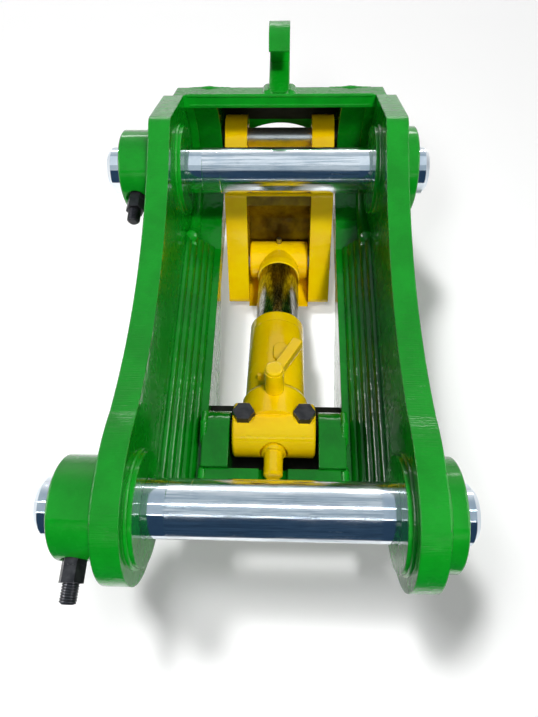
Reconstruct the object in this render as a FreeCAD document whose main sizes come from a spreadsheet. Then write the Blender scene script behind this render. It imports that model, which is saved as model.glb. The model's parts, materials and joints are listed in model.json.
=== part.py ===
# Hydraulic quick coupler for a small excavator, in millimetres.
# The origin is the centre of the dipper pin. X runs along the pins, +Y points
# to the link pin and +Z is up.
import FreeCAD, Part
import Sketcher
import math
import os
import re

SIZES = (
    # Machine pins
    ("pin_dia", 45, "dipper pin and link pin"),
    ("pin_spacing", 342, "dipper pin to link pin"),
    ("pin_fit", 0.15, "radial clearance of a pin in its ears"),
    ("pin_left", 172, "left end of a pin from the centre"),
    ("pin_right", 149.5, "right end of a pin from the centre"),
    ("pin_chamfer", 4, "chamfer on a pin's ends"),
    ("hook_clear", 0.5, "radial clearance of a bucket pin in its hook"),
    # Ear plates
    ("ear_gap", 196, "inside width between the ears"),
    ("ear_thick", 20, "ear plate"),
    ("ear_eye", 55.5, "radius of the ear round the dipper pin"),
    ("ear_waist_y", 60, "where the ear's top turns hollow"),
    ("ear_waist_z", 45.6, "height there"),
    ("ear_brow", 130, "radius of the top next to the eye"),
    ("ear_hollow", 400, "radius of the hollow top"),
    ("ear_peak_y", 334, "highest corner of the ear"),
    ("ear_peak_z", 71, "height there"),
    ("ear_rear", 412, "rear edge of the ear"),
    ("ear_bottom", -88, "lower edge of the ear"),
    ("ear_heel_y", 376, "where the lower edge turns up to the rear"),
    ("ear_heel_z", -34, "where the rear edge turns to the heel"),
    ("ear_corner", 14, "radius of the ear's outer corners"),
    ("plate_break", 1.5, "broken edge of a thick plate"),
    # Collars, bosses and rings on the ears
    ("collar_reach", 5, "inner collar off the ear"),
    ("collar_round", 43, "inner collar's outer radius"),
    ("boss_round", 39, "left boss's outer radius"),
    ("boss_reach", 37, "left boss off the ear"),
    ("ring_round", 42, "right ring's outer radius"),
    ("ring_reach", 16.5, "right ring off the ear"),
    ("ring_break", 1, "broken edge of a boss, ring or collar"),
    # Retention bolts
    ("keeper_dia", 10, "retention bolt"),
    ("keeper_at", 141.5, "retention bolt left of the centre"),
    ("keeper_hole", 5.5, "radius of its hole"),
    ("keeper_flats", 16, "across flats of its head and nuts"),
    ("keeper_head", 6.4, "height of its head"),
    ("keeper_nut", 8.4, "height of the nut"),
    ("keeper_lock", 12, "height of the lock nut"),
    ("keeper_end", 68, "bolt end below the pin axis"),
    ("keeper_seat", 33.5, "spot face of the nut from the pin axis"),
    ("keeper_sink", 27.5, "spot face of the head from the pin axis"),
    # Hook plates
    ("hook_inside", 64, "inner face of a hook plate"),
    ("hook_thick", 25, "hook plate"),
    ("hook_top", -75, "top edge of a hook plate"),
    ("hook_y", 25, "front throat centre"),
    ("hook_z", -127, "front throat centre"),
    ("hook_lip", 24, "wall under the front throat"),
    ("hook_nose", 33, "upper lip in front of the throat centre"),
    ("hook_toe", 27, "lower lip in front of the throat centre"),
    ("hook_sole", 62, "rear end of the sole"),
    ("belly_y", 146, "belly corner"),
    ("belly_z", -153, "belly corner"),
    ("flank_y", 244, "flank corner"),
    ("flank_z", -105.5, "flank corner"),
    ("tail_z", -95, "lower edge over the bucket pin"),
    ("tail_y", 404, "where the tail turns up"),
    ("rear_y", 462, "rear edge of a hook plate"),
    ("rear_z", -60, "lower end of the rear edge"),
    ("link_clear", 64, "clearance radius round the link pin"),
    ("hook_corner", 8, "radius of the hook's lips"),
    # Rear cover, tie plate and lifting hook
    ("cover_front_y", 405, "top front edge of the cover"),
    ("cover_front_z", 39.4, "top front edge of the cover"),
    ("cover_slope", 24, "fall of the ears and cover to the rear in degrees"),
    ("cover_thick", 12, "cover plate"),
    ("cover_flat", 31, "upper leaf of the cover"),
    ("cover_fall", 56, "fall of the lower leaf in degrees"),
    ("cover_half", 108.5, "half its width"),
    ("tie_thick", 12, "tie plate"),
    ("tie_crown", -42.5, "crown of the tie plate's arch"),
    ("tie_arch", 70, "radius of the arch"),
    ("tie_foot", -63.5, "lower end of the tie plate"),
    ("eyelet_thick", 21, "lifting hook"),
    ("eyelet_y", 456, "throat centre of the lifting hook"),
    ("eyelet_z", 53, "throat centre of the lifting hook"),
    ("eyelet_throat", 13, "throat radius"),
    ("eyelet_round", 29, "outer radius"),
    # Front cross plate and trunnion lugs
    ("cross_rear", 46, "rear face of the front cross plate"),
    ("cross_front", 16, "front of the front cross plate"),
    ("cross_top", -56, "top of the front cross plate"),
    ("cross_foot", -97, "foot of the front cross plate"),
    ("cross_notch", 13, "radius of its notch"),
    ("lug_inside", 40, "inner face of a lug"),
    ("lug_round", 17, "lug round the trunnion pin"),
    ("lug_foot_y", 60, "lug foot"),
    ("lug_foot_z", -118, "lug foot"),
    ("lug_heel_y", 90, "rear of the lug foot"),
    # Seam welds
    ("seam_front", 14, "front end of the seam weld"),
    ("seam_rear", 300, "rear end of the seam weld"),
    ("seam_top", -46, "upper toe of the weld on the ear"),
    ("seam_toe", 71, "lower toe of the weld on the hook plate"),
    ("seam_bead", 5.2, "radius of one bead"),
    ("seam_count", 5, "number of beads"),
    # Cylinder
    ("trunnion_y", 84, "trunnion axis"),
    ("trunnion_z", -64, "trunnion axis"),
    ("trunnion_dia", 18, "trunnion pin"),
    ("trunnion_bush", 12, "outer radius of its bush"),
    ("run_fit", 0.05, "running clearance of a small pin"),
    ("seat_fit", 0.1, "clearance of a seated round piece"),
    ("block_round", 25, "cross tube of the base"),
    ("block_half", 37, "half the width of the base"),
    ("collar_wall", 2.5, "collar of the base round the barrel"),
    ("collar_end", 29, "end of the collar from the trunnion"),
    ("collar_bevel", 5, "bevel of the collar"),
    ("barrel_wall", 3, "barrel wall"),
    ("barrel_bore", 51, "barrel bore"),
    ("barrel_from", 24, "barrel start from the trunnion"),
    ("barrel_to", 118, "barrel end from the trunnion"),
    ("gland_plug", 14, "gland inside the barrel"),
    ("gland_nose", 13.5, "gland outside the barrel"),
    ("gland_break", 1.5, "chamfer of the gland"),
    ("wiper_depth", 4.5, "wiper ring"),
    ("wiper_wall", 1.5, "wiper ring"),
    ("seal_wall", 1.2, "rod seal"),
    ("seal_width", 5, "rod seal and piston seal"),
    ("rod_dia", 47, "piston rod"),
    ("rod_fit", 0.1, "clearance of the rod in its gland"),
    ("piston_rest", 3, "nut to barrel bottom at rest"),
    ("piston_nut", 7, "piston nut"),
    ("piston_nut_flats", 30, "piston nut across flats"),
    ("piston_width", 18, "piston"),
    ("spigot_dia", 20, "rod end in the piston"),
    ("bolt_dia", 10, "trunnion bolt"),
    ("bolt_at", 27, "trunnion bolt from the centre"),
    ("bolt_flats", 17, "trunnion bolt head"),
    ("bolt_head", 6.5, "trunnion bolt head"),
    ("bolt_seat", 23.5, "spot face of a trunnion bolt"),
    ("bolt_depth", 15, "trunnion bolt below the pin axis"),
    ("elbow_at", 25, "elbow stem from the trunnion"),
    ("elbow_stem", 17.5, "elbow stem"),
    ("elbow_rise", 25, "top of the elbow over the collar"),
    ("elbow_arm", 45, "length of the elbow's arm"),
    ("elbow_bar", 9.5, "thickness of the elbow's arm"),
    ("elbow_turn", 28, "elbow's arm from the barrel axis in degrees"),
    ("elbow_cap", 4, "height of the elbow's cap screw"),
    ("pad_from", 60, "port pad from the trunnion"),
    ("pad_length", 24, "port pad"),
    ("pad_width", 15, "port pad"),
    ("pad_right", 5, "port pad right of the centre"),
    ("pad_rise", 2.5, "port pad over the barrel"),
    ("bleed_dia", 4, "bleed screw"),
    ("bleed_left", 15, "bleed screw left of the centre"),
    ("bleed_at", 43, "bleed screw from the trunnion"),
    ("bleed_rise", 0.5, "top of the bleed screw over the barrel"),
    ("adapter_dia", 17, "hose spigot"),
    ("adapter_flange", 22, "flange of the hose spigot"),
    ("adapter_seat", 21, "spot face of the hose spigot"),
    ("adapter_rim", 5, "flange of the hose spigot"),
    ("adapter_reach", 49, "spigot end from the trunnion"),
    ("adapter_thread", 14, "threaded end of the spigot"),
    # Rod eye
    ("eye_y", 328, "rod pin axis at rest"),
    ("eye_z", -133, "rod pin axis at rest"),
    ("eye_round", 22.5, "rod eye"),
    ("eye_neck", 36, "neck of the rod eye, in front of its pin"),
    ("eye_neck_wall", 1.2, "neck of the rod eye off the rod"),
    ("eye_half", 34.5, "half the width of the rod eye"),
    ("eye_bush", 17, "outer radius of the rod eye's bush"),
    ("eye_play", 2.3, "radial play on the rod pin"),
    ("rod_pin_dia", 25, "rod pin"),
    ("nipple_dia", 6, "grease nipple"),
    ("nipple_high", 7, "grease nipple"),
    # Jaw
    ("jaw_y", 426, "jaw pivot"),
    ("jaw_z", -33, "jaw pivot"),
    ("jaw_pin_dia", 22, "jaw pivot pin"),
    ("jaw_pin_half", 95, "half the length of the pivot pin"),
    ("jaw_bush", 14, "outer radius of the jaw bush"),
    ("jaw_head", 25, "jaw round its pivot"),
    ("cheek_inside", 36, "inner face of a cheek"),
    ("cheek_thick", 24.5, "jaw cheek"),
    ("washer_gap", 0.2, "end play of the thrust washers"),
    ("washer_round", 19, "thrust washer"),
    ("knee_back", 22, "front corner of the jaw under the link pin, behind the rod pin"),
    ("knee_z", -46, "front corner of the jaw under the link pin"),
    ("chin_reach", 50, "front lower corner of the jaw, in front of the rod pin"),
    ("chin_drop", 20, "front lower corner of the jaw, below the rod pin"),
    ("sole_reach", 28, "front end of the jaw's sole, in front of the rod pin"),
    ("jaw_hook_back", 60, "rear throat centre behind the rod pin"),
    ("jaw_hook_z", -128, "rear throat centre"),
    ("jaw_toe", 25, "lower lip behind the throat centre"),
    ("jaw_corner", 6, "radius of the jaw's corners"),
    ("web_top_y", 393, "upper end of the web"),
    ("web_drop", 8.5, "web's front band below the knee"),
    ("clip_thick", 1.8, "circlip"),
    ("clip_wall", 3.5, "circlip"),
    ("clip_room", 1, "room round a circlip"),
)

doc = FreeCAD.newDocument("quick_coupler")
sheet = doc.addObject("Spreadsheet::Sheet", "Sizes")
for row, (alias, size, note) in enumerate(SIZES, start=1):
    sheet.set("A%d" % row, note)
    sheet.set("B%d" % row, str(size))
    sheet.setAlias("B%d" % row, alias)
doc.recompute()

ALIASES = {alias for alias, size, note in SIZES}
RIGHT, LEFT = 1, -1
SIDES = (("left", LEFT), ("right", RIGHT))
nodes = []


# Expressions over the sheet

def sized(expression):
    """Names the sheet in front of each of its aliases."""
    def name(word):
        return "Sizes." + word.group(0) if word.group(0) in ALIASES else word.group(0)
    return re.sub(r"[a-z_]+", name, str(expression))


def number(expression):
    """The value of an expression at the sheet's sizes."""
    found = sheet.evalExpression(sized(expression))
    return float(getattr(found, "Value", found))


def times(side, expression):
    """An expression on the side's own sign of X."""
    return expression if side == RIGHT else "-(%s)" % expression


# Sketches and features

def new_body(label, at=None, tilt=None):
    """A body, placed at a point of expressions and tilted about X."""
    body = doc.addObject("PartDesign::Body", label)
    body.Label = label
    if tilt is not None:
        body.Placement = FreeCAD.Placement(FreeCAD.Vector(), FreeCAD.Rotation(FreeCAD.Vector(1, 0, 0), 1))
        body.setExpression("Placement.Rotation.Angle", sized(tilt))
    if at is not None:
        for axis, place in zip("xyz", at):
            body.setExpression("Placement.Base." + axis, sized(place))
    return body


def new_sketch(body, plane, offset="0"):
    """A sketch on one of the body's own origin planes, moved along its normal."""
    sketch = body.newObject("Sketcher::SketchObject", body.Name + "_sketch")
    origin_plane = [item for item in body.Origin.OriginFeatures if item.Role == plane][0]
    sketch.AttachmentSupport = (origin_plane, [""])
    sketch.MapMode = "FlatFace"
    sketch.setExpression("AttachmentOffset.Base.z", sized(offset))
    return sketch


def hold(sketch, kind, geometry, end, expression):
    """Ties one end of an edge to the sketch's origin by an expression."""
    index = sketch.addConstraint(
        Sketcher.Constraint(kind, -1, 1, geometry, end, number(expression)))
    sketch.setExpression("Constraints[%d]" % index, sized(expression))


def arc_between(start, end, radius, turn):
    """The arc from start to end whose centre lies left (+1) or right (-1) of the way."""
    chord = end - start
    left = FreeCAD.Vector(-chord.y, chord.x, 0).normalize()
    height = math.sqrt(max(radius ** 2 - (chord.Length / 2) ** 2, 0))
    centre = (start + end) / 2 + left * turn * height
    angles = [math.atan2(point.y - centre.y, point.x - centre.x) for point in (start, end)]
    if turn < 0:
        angles.reverse()
    circle = Part.Circle(centre, FreeCAD.Vector(0, 0, 1), radius)
    return Part.ArcOfCircle(circle, angles[0], angles[1])


def draw(sketch, corners):
    """Closes a profile through its corners.

    A corner is (u, v), or (u, v, radius, turn) where the edge that arrives at it
    is an arc whose centre lies left (+1) or right (-1) of the way.
    """
    points = [FreeCAD.Vector(number(corner[0]), number(corner[1]), 0) for corner in corners]
    ends = []
    for index, corner in enumerate(corners):
        start, end = points[index - 1], points[index]
        if len(corner) == 2:
            geometry = sketch.addGeometry(Part.LineSegment(start, end))
            ends.append((geometry, 1, 2))
        else:
            radius, turn = corner[2], corner[3]
            arc = arc_between(start, end, number(radius), turn)
            geometry = sketch.addGeometry(arc)
            ends.append((geometry, 1, 2) if turn > 0 else (geometry, 2, 1))
            if abs((end - start).Length - 2 * number(radius)) < 1e-6:
                # A half circle is held by its centre, halfway between its ends.
                upright = abs(end.x - start.x) < 1e-6
                hold(sketch, "DistanceX" if upright else "DistanceY", geometry, 3,
                     corner[0] if upright else corner[1])
                continue
            index_of = sketch.addConstraint(
                Sketcher.Constraint("Radius", geometry, number(radius)))
            sketch.setExpression("Constraints[%d]" % index_of, sized(radius))
    for index, corner in enumerate(corners):
        geometry, first, last = ends[index]
        following = ends[(index + 1) % len(ends)]
        sketch.addConstraint(
            Sketcher.Constraint("Coincident", geometry, last, following[0], following[1]))
        hold(sketch, "DistanceX", geometry, last, corner[0])
        hold(sketch, "DistanceY", geometry, last, corner[1])


def draw_circle(sketch, u, v, radius):
    """A circle held at expressions."""
    centre = FreeCAD.Vector(number(u), number(v), 0)
    geometry = sketch.addGeometry(
        Part.Circle(centre, FreeCAD.Vector(0, 0, 1), number(radius)))
    hold(sketch, "DistanceX", geometry, 3, u)
    hold(sketch, "DistanceY", geometry, 3, v)
    index = sketch.addConstraint(Sketcher.Constraint("Radius", geometry, number(radius)))
    sketch.setExpression("Constraints[%d]" % index, sized(radius))


def pad(body, sketch, length):
    """Raises a sketch along its normal."""
    feature = body.newObject("PartDesign::Pad", body.Name + "_pad")
    feature.Profile = sketch
    feature.setExpression("Length", sized(length))
    return feature


def cut_through(body, sketch):
    """Cuts a sketch through the whole body, both ways."""
    feature = body.newObject("PartDesign::Pocket", body.Name + "_cut")
    feature.Profile = sketch
    feature.Type = "ThroughAll"
    feature.SideType = "Symmetric"
    return feature


def cut_deep(body, sketch, depth, along_normal=False):
    """Cuts a sketch to a depth, against its normal or along it."""
    feature = body.newObject("PartDesign::Pocket", body.Name + "_cut")
    feature.Profile = sketch
    feature.Reversed = along_normal
    feature.setExpression("Length", sized(depth))
    return feature


def bore(body, plane, u, v, radius):
    """A round hole right through the body, along the plane's normal."""
    sketch = new_sketch(body, plane)
    draw_circle(sketch, u, v, radius)
    return cut_through(body, sketch)


def revolve(body, axis, corners):
    """Turns a profile in the XY plane about X (H_Axis) or Y (V_Axis)."""
    sketch = new_sketch(body, "XY_Plane")
    draw(sketch, corners)
    feature = body.newObject("PartDesign::Revolution", body.Name + "_turned")
    feature.Profile = sketch
    feature.ReferenceAxis = (sketch, [axis])
    feature.Angle = 360
    return feature


def dress(body, kind, size, picks):
    """Fillets or chamfers the edges that picks(edge) accepts."""
    doc.recompute()
    base = body.Tip
    names = ["Edge%d" % (index + 1)
             for index, edge in enumerate(base.Shape.Edges) if picks(edge)]
    feature = body.newObject("PartDesign::" + kind, body.Name + "_" + kind.lower())
    feature.Base = (base, names)
    feature.setExpression("Radius" if kind == "Fillet" else "Size", sized(size))
    return feature


def at_corners(places):
    """Picks the edges along X that pass through the given (Y, Z) places."""
    targets = [(number(y), number(z)) for y, z in places]

    def picks(edge):
        first, last = edge.Vertexes[0].Point, edge.Vertexes[-1].Point
        along = abs(first.y - last.y) < 0.01 and abs(first.z - last.z) < 0.01
        near = any(math.hypot(first.y - y, first.z - z) < 0.05 for y, z in targets)
        return along and near and abs(first.x - last.x) > 1
    return picks


def on_face_planes(planes):
    """Picks the outline edges that lie wholly in one of the planes across X."""
    targets = [number(plane) for plane in planes]

    def picks(edge):
        box = edge.BoundBox
        flat = box.XLength < 0.001
        return flat and any(abs(box.XMin - target) < 0.001 for target in targets)
    return picks


def node(thing, label=None):
    """Keeps a finished object as a node of the part."""
    if label:
        thing.Label = label
    nodes.append(thing)
    return thing


def group(label, members):
    """One node of several separate solids."""
    compound = doc.addObject("Part::Compound", label)
    compound.Label = label
    compound.Links = members
    nodes.append(compound)
    return compound


def plate(label, side, inside, thick, corners):
    """A plate across X, with its inner face at a distance from the middle."""
    body = new_body(label)
    offset = inside if side == RIGHT else "-(%s) - (%s)" % (inside, thick)
    sketch = new_sketch(body, "YZ_Plane", offset)
    draw(sketch, corners)
    pad(body, sketch, thick)
    return body


def middle_plate(label, half, corners):
    """A plate across X that is centred on the middle."""
    body = new_body(label)
    sketch = new_sketch(body, "YZ_Plane", "-(%s)" % half)
    draw(sketch, corners)
    pad(body, sketch, "2 * (%s)" % half)
    return body


def ring(label, side, near, far, inner, outer, at, break_edge=None):
    """A ring along X between two distances from the middle."""
    body = new_body(label, ("0", at[0], at[1]))
    start, end = (near, far) if side == RIGHT else ("-(%s)" % far, "-(%s)" % near)
    if break_edge is None:
        corners = [(start, inner), (start, outer), (end, outer), (end, inner)]
    elif side == RIGHT:
        corners = [(start, inner), (start, outer), ("%s - (%s)" % (end, break_edge), outer),
                   (end, "%s - (%s)" % (outer, break_edge)), (end, inner)]
    else:
        corners = [(start, inner), (start, "%s - (%s)" % (outer, break_edge)),
                   ("%s + %s" % (start, break_edge), outer), (end, outer), (end, inner)]
    revolve(body, "H_Axis", corners)
    return body


def shaft(label, start, end, radius, chamfer, at):
    """A round pin along X with chamfered ends."""
    body = new_body(label, ("0", at[0], at[1]))
    revolve(body, "H_Axis", [
        (start, "0"), (start, "%s - %s" % (radius, chamfer)),
        ("%s + %s" % (start, chamfer), radius), ("%s - %s" % (end, chamfer), radius),
        (end, "%s - %s" % (radius, chamfer)), (end, "0")])
    return body


def hexagon(sketch, flats, u="0", v="0"):
    """A hexagon with corners to the left and right."""
    corners = []
    for turn in range(0, 360, 60):
        corners.append(("%s + %s / sqrt(3) * cos(%d)" % (u, flats, turn),
                        "%s + %s / sqrt(3) * sin(%d)" % (v, flats, turn)))
    draw(sketch, corners)


def fuse_into(body, sketch, length):
    """Adds a raised sketch to a body that already has a solid."""
    return pad(body, sketch, length)


# Places that several pieces share

PIN = "pin_dia / 2"
PIN_HOLE = "pin_dia / 2 + pin_fit"
THROAT = "(pin_dia / 2 + hook_clear)"
EAR_INSIDE = "ear_gap / 2"
EAR_OUTSIDE = "ear_gap / 2 + ear_thick"
HOOK_OUTSIDE = "hook_inside + hook_thick"
CHEEK_OUTSIDE = "cheek_inside + cheek_thick"
DIPPER = ("0", "0")
LINK = ("pin_spacing", "0")
JAW = ("jaw_y", "jaw_z")
TRUNNION = ("trunnion_y", "trunnion_z")
EYE = ("eye_y", "eye_z")
BARREL = "(barrel_bore / 2 + barrel_wall)"
COLLAR = "(barrel_bore / 2 + barrel_wall + collar_wall)"
ELBOW_TOP = "(barrel_bore / 2 + barrel_wall + collar_wall + elbow_rise)"
CYLINDER_LENGTH = "sqrt((eye_y - trunnion_y)^2 + (eye_z - trunnion_z)^2)"
CYLINDER_SLOPE = "atan((eye_z - trunnion_z) / (eye_y - trunnion_y))"
TRUNNION_AT = ("0",) + TRUNNION
EYE_AT = ("0",) + EYE
TRUNNION_PIN = "trunnion_dia / 2"
ROD = "rod_dia / 2"


def under_cover(y):
    """Height of the cover's underside at a distance along Y."""
    return ("cover_front_z - cover_thick * cos(cover_slope)"
            " - (%s - cover_front_y + cover_thick * sin(cover_slope)) * tan(cover_slope)" % y)


def on_circle(centre, radius, angle):
    """A point of a circle in the YZ plane, at an angle from +Y in degrees."""
    return ("%s + %s * cos(%s)" % (centre[0], radius, angle),
            "%s + %s * sin(%s)" % (centre[1], radius, angle))


COVER_FRONT = ("cover_front_y", "cover_front_z")
COVER_DOWN_Y = "cover_thick * sin(cover_slope)"
COVER_DOWN_Z = "cover_thick * cos(cover_slope)"
COVER_FRONT_LOW = ("cover_front_y - " + COVER_DOWN_Y, "cover_front_z - " + COVER_DOWN_Z)
BEND = ("cover_front_y + cover_flat * cos(cover_slope)",
        "cover_front_z - cover_flat * sin(cover_slope)")
BEND_SHARE = "cover_thick / (1 + cos(cover_fall - cover_slope))"
BEND_LOW = ("%s - (sin(cover_slope) + sin(cover_fall)) * %s" % (BEND[0], BEND_SHARE),
            "%s - (cos(cover_slope) + cos(cover_fall)) * %s" % (BEND[1], BEND_SHARE))
TIE_REAR = "rear_y + tie_thick"
COVER_FOOT = (TIE_REAR, "%s - (%s - (%s)) * tan(cover_fall)" % (BEND[1], TIE_REAR, BEND[0]))
COVER_FOOT_LOW = ("rear_y", "%s - (rear_y - (%s)) * tan(cover_fall)" % (BEND_LOW[1], BEND_LOW[0]))
ARC_LOW = on_circle(LINK, "link_clear", "-100")
ARC_TOP_Y = "pin_spacing + link_clear * cos(22)"
ARC_TOP = (ARC_TOP_Y, under_cover("(%s)" % ARC_TOP_Y))
EAR_REAR_TOP = ("ear_rear", under_cover("ear_rear"))
WELD_REAR = "jaw_y - jaw_pin_dia / 2 - clip_wall - clip_room"


# Frame

def make_ear(name, side):
    eye_top = ("0", "ear_eye")
    eye_low = on_circle(DIPPER, "ear_eye", "238")
    corners = [
        eye_top + ("ear_eye", -1),
        ("ear_waist_y", "ear_waist_z", "ear_brow", -1),
        ("ear_peak_y", "ear_peak_z", "ear_hollow", 1),
        COVER_FRONT,
        COVER_FRONT_LOW,
        EAR_REAR_TOP,
        ("ear_rear", "ear_heel_z"),
        ("ear_heel_y", "ear_bottom"),
        ("12", "ear_bottom"),
        eye_low,
    ]
    ear = plate("ear_plate_" + name, side, EAR_INSIDE, "ear_thick", corners)
    bore(ear, "YZ_Plane", "0", "0", PIN_HOLE)
    bore(ear, "YZ_Plane", "pin_spacing", "0", PIN_HOLE)
    dress(ear, "Fillet", "ear_corner",
          at_corners([("ear_peak_y", "ear_peak_z"), ("ear_rear", "ear_heel_z"),
                      ("ear_heel_y", "ear_bottom")]))
    node(ear)


def make_hook_plate(name, side):
    throat_low = "hook_z - " + THROAT
    throat_high = "hook_z + " + THROAT
    toe_y = "hook_y - hook_toe"
    nose_y = "hook_y - hook_nose"
    sole = throat_low + " - hook_lip"
    corners = [
        (nose_y + " + 12", "hook_top"),
        ("seam_rear", "hook_top"),
        ARC_LOW,
        ARC_TOP + ("link_clear", 1),
        BEND_LOW,
        COVER_FOOT_LOW,
        ("rear_y", "rear_z"),
        ("tail_y", "tail_z"),
        ("flank_y + 18", "tail_z"),
        ("flank_y", "flank_z"),
        ("belly_y", "belly_z"),
        ("hook_sole", sole),
        (toe_y + " + 12", sole),
        (toe_y, throat_low + " - 11"),
        (toe_y, throat_low),
        ("hook_y", throat_low),
        ("hook_y", throat_high, THROAT, 1),
        (nose_y, throat_high),
        (nose_y, throat_high + " + 14"),
    ]
    hook = plate("hook_plate_" + name, side, "hook_inside", "hook_thick", corners)
    bore(hook, "YZ_Plane", "jaw_y", "jaw_z", "jaw_pin_dia / 2 + run_fit")
    dress(hook, "Fillet", "hook_corner",
          at_corners([("hook_sole", sole), ("belly_y", "belly_z"), ("rear_y", "rear_z"),
                      ("tail_y", "tail_z"), (toe_y + " + 12", sole)]))
    node(hook)


def make_cover():
    cover = middle_plate("rear_cover_plate", "cover_half", [
        COVER_FRONT, BEND, COVER_FOOT, COVER_FOOT_LOW, BEND_LOW, COVER_FRONT_LOW])
    node(cover)


def make_tie_plate():
    tie = middle_plate("rear_tie_plate", HOOK_OUTSIDE, [
        COVER_FOOT_LOW, COVER_FOOT, (TIE_REAR, "tie_foot"), ("rear_y", "tie_foot")])
    bore(tie, "XZ_Plane", "0", "tie_crown - tie_arch", "tie_arch")
    node(tie)


def make_lifting_hook():
    front = "cover_front_y + 3"
    heel = "(cover_front_y + cover_flat * cos(cover_slope) + 15)"
    throat = ("eyelet_y", "eyelet_z")
    hub = ("eyelet_y", "eyelet_z - 4")
    floor = "eyelet_z - eyelet_throat + 0.4"
    throat_in = on_circle(throat, "eyelet_throat", "256")
    throat_deep = on_circle(throat, "eyelet_throat", "0")
    throat_out = on_circle(throat, "eyelet_throat", "122")
    tip = on_circle(hub, "eyelet_round", "143")
    crown = on_circle(hub, "eyelet_round", "50")
    back = on_circle(hub, "eyelet_round", "-50")
    corners = [
        (front, "cover_front_z - 3 * tan(cover_slope)"),
        (front, floor),
        throat_in,
        throat_deep + ("eyelet_throat", 1),
        throat_out + ("eyelet_throat", 1),
        tip,
        crown + ("eyelet_round", -1),
        back + ("eyelet_round", -1),
        (heel, "%s - 15 * tan(cover_fall)" % BEND[1]),
        BEND,
    ]
    hook = middle_plate("lifting_hook", "eyelet_thick / 2", corners)
    node(hook)


def make_front_cross_plate():
    corners = [
        ("cross_rear", "cross_top"),
        ("cross_rear", "cross_foot"),
        ("cross_rear - 12", "cross_foot"),
        ("cross_front", "cross_foot + 17"),
        ("cross_front", "cross_top - 12"),
        ("cross_front + 14", "cross_top"),
    ]
    cross = middle_plate("front_cross_plate", "hook_inside", corners)
    bore(cross, "XZ_Plane", "0", "cross_top + 2", "cross_notch")
    node(cross)


def make_lug(name, side):
    lug_top = on_circle(TRUNNION, "lug_round", "90")
    lug_rear = on_circle(TRUNNION, "lug_round", "0")
    corners = [
        ("cross_rear", "cross_top + 5"),
        lug_top,
        lug_rear + ("lug_round", -1),
        ("lug_heel_y", "lug_foot_z"),
        ("lug_foot_y", "lug_foot_z"),
        ("cross_rear", "cross_foot"),
    ]
    lug = plate("trunnion_lug_" + name, side, "lug_inside", "hook_inside - lug_inside", corners)
    bore(lug, "YZ_Plane", "trunnion_y", "trunnion_z", "trunnion_bush")
    node(lug)


def make_seam_weld(name, side):
    """The beads that join an ear to its hook plate, laid side by side."""
    corners = [(times(side, EAR_INSIDE), "seam_top")]
    for count in range(1, round(number("seam_count")) + 1):
        x = "(%s + (seam_toe - %s) * %d / seam_count)" % (EAR_INSIDE, EAR_INSIDE, count)
        z = "seam_top + (hook_top - seam_top) * %d / seam_count" % count
        corners.append((times(side, x), z, "seam_bead", side))
    corners.append((times(side, HOOK_OUTSIDE), "hook_top"))
    corners.append((times(side, HOOK_OUTSIDE), "ear_bottom"))
    corners.append((times(side, EAR_INSIDE), "ear_bottom"))
    body = new_body("seam_weld_" + name)
    sketch = new_sketch(body, "XZ_Plane", "-seam_rear")
    draw(sketch, corners)
    pad(body, sketch, "seam_rear - seam_front")
    node(body)


def make_rear_weld(name, side):
    """The weld that fills the gap between an ear and its hook plate at the rear."""
    low = on_circle(LINK, "link_clear", "-34")
    corners = [
        ARC_TOP + ("link_clear", 1),
        (WELD_REAR, under_cover("(%s)" % WELD_REAR)),
        (WELD_REAR, "ear_heel_z - 2"),
        low,
    ]
    weld = plate("rear_weld_" + name, side, HOOK_OUTSIDE,
                 "%s - (%s)" % (EAR_INSIDE, HOOK_OUTSIDE), corners)
    node(weld)


def make_pin_hardware(name, at):
    """A machine pin with its boss, ring, collars and retention bolt."""
    for side_name, side in SIDES:
        node(ring("%s_collar_%s" % (name, side_name), side, EAR_INSIDE + " - collar_reach",
                  EAR_INSIDE, PIN_HOLE, "collar_round", at))
    boss = ring(name + "_boss_left", LEFT, EAR_OUTSIDE, EAR_OUTSIDE + " + boss_reach",
                PIN_HOLE, "boss_round", at, "ring_break")
    bore(boss, "XZ_Plane", "-keeper_at", "0", "keeper_hole")
    head_face = new_sketch(boss, "XZ_Plane", "-keeper_sink")
    draw_circle(head_face, "-keeper_at", "0", "keeper_flats * 0.66")
    cut_deep(boss, head_face, "14")
    nut_face = new_sketch(boss, "XZ_Plane", "keeper_seat")
    draw_circle(nut_face, "-keeper_at", "0", "keeper_flats * 0.66")
    cut_deep(boss, nut_face, "8", True)
    node(boss)
    node(ring(name + "_ring_right", RIGHT, EAR_OUTSIDE, EAR_OUTSIDE + " + ring_reach",
              PIN_HOLE, "ring_round", at, "ring_break"))
    pin = shaft(name + "_pin", "-pin_left", "pin_right", PIN, "pin_chamfer", at)
    bore(pin, "XZ_Plane", "-keeper_at", "0", "keeper_hole")
    node(pin)


def make_keeper(at):
    """A retention bolt, its nut and its lock nut, along Y through a left boss."""
    place = ("-keeper_at", at[0], at[1])
    shank = "keeper_dia / 2"
    bolt = new_body("retention_bolt_solid", place)
    revolve(bolt, "V_Axis", [
        ("0", "-keeper_end"), (shank + " - 1.5", "-keeper_end"), (shank, "-keeper_end + 1.5"),
        (shank, "keeper_sink"), ("0", "keeper_sink")])
    head = new_sketch(bolt, "XZ_Plane", "-keeper_sink - keeper_head")
    hexagon(head, "keeper_flats")
    fuse_into(bolt, head, "keeper_head")
    nuts = []
    for start, height in (("keeper_seat", "keeper_nut"),
                          ("keeper_seat + keeper_nut", "keeper_lock")):
        nut = new_body("retention_nut_solid", place)
        sketch = new_sketch(nut, "XZ_Plane", start)
        hexagon(sketch, "keeper_flats")
        draw_circle(sketch, "0", "0", shank)
        pad(nut, sketch, height)
        nuts.append(nut)
    return bolt, nuts[0], nuts[1]


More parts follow.
